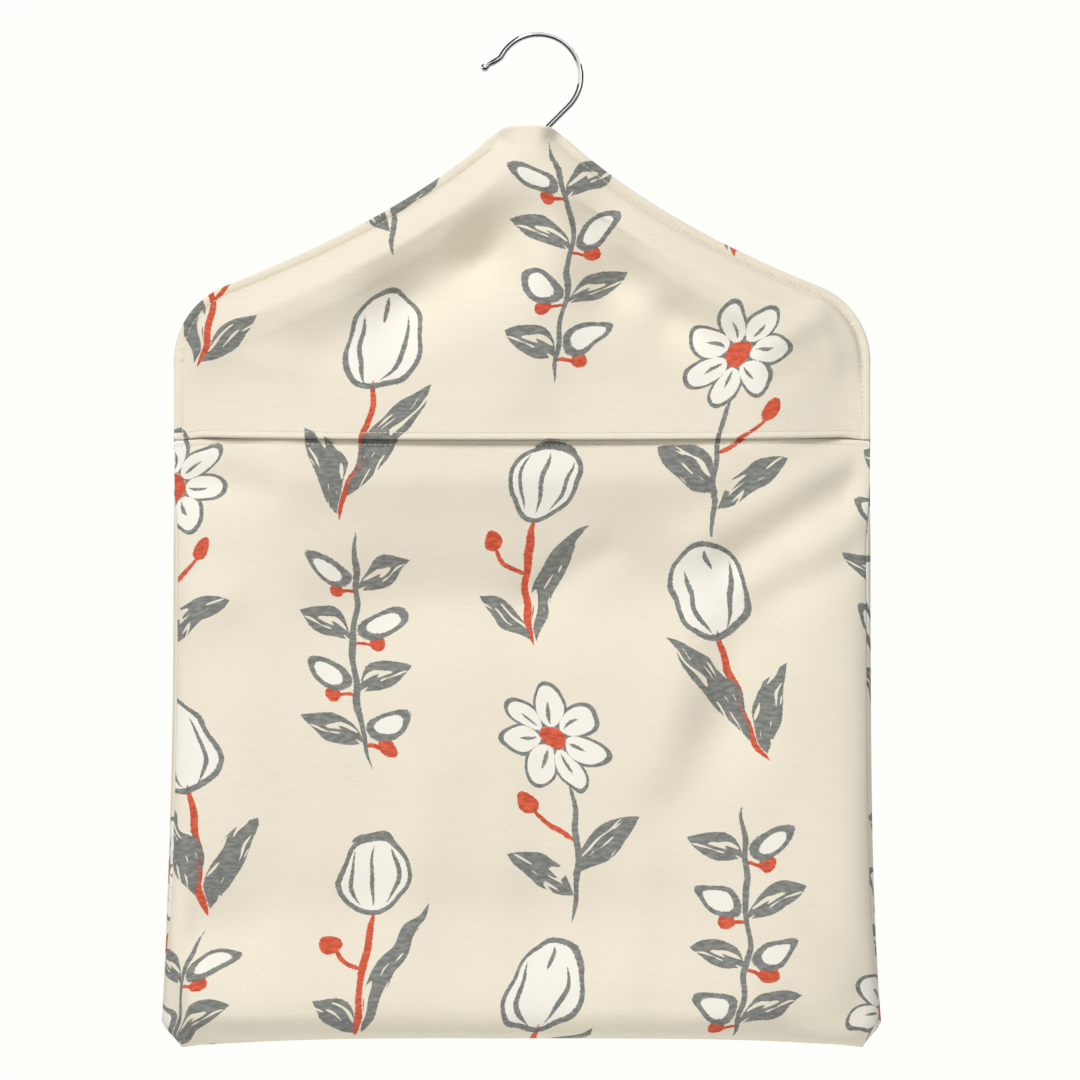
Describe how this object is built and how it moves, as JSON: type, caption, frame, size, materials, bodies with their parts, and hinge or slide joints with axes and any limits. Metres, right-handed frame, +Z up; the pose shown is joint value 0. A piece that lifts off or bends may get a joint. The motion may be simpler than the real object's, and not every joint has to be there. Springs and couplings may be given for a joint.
{
  "type": "hanging peg bag",
  "caption": "Cloth bag for clothes pegs sewn round a short wooden hanger, with a slit across the front to reach in and a swivelling wire hook to hang it on a line.",
  "frame": {"origin": "the hook's seat: the inside top of the hook's round, where the washing line or rail bears, on the axis of the swivelling stem", "axes": "+Z up along the hook's stem, +X along the hanger to the right seen from the front, -Y out of the bag's front"},
  "size_m": [0.3186, 0.04, 0.4517],
  "materials": {
    "hook_wire": "bright chromed round wire",
    "washer_plate": "plated steel, hidden inside the hanger's notch",
    "hanger_wood": "sanded pale hardwood with a thin clear coat",
    "bag_cloth": null
  },
  "bodies": {
    "hook": {"hook": "hook_wire"},
    "bag": {"hook_washer": "washer_plate", "left_arm": "hanger_wood", "right_arm": "hanger_wood", "back_panel": "bag_cloth", "front_yoke": "bag_cloth", "front_pocket": "bag_cloth"}
  },
  "joints": [
    {"name": "hook_swivel", "type": "hinge", "parent": "hook", "child": "bag", "pos_m": [0, 0, -0.06], "axis": [0, 0, 1], "continuous": true}
  ]
}
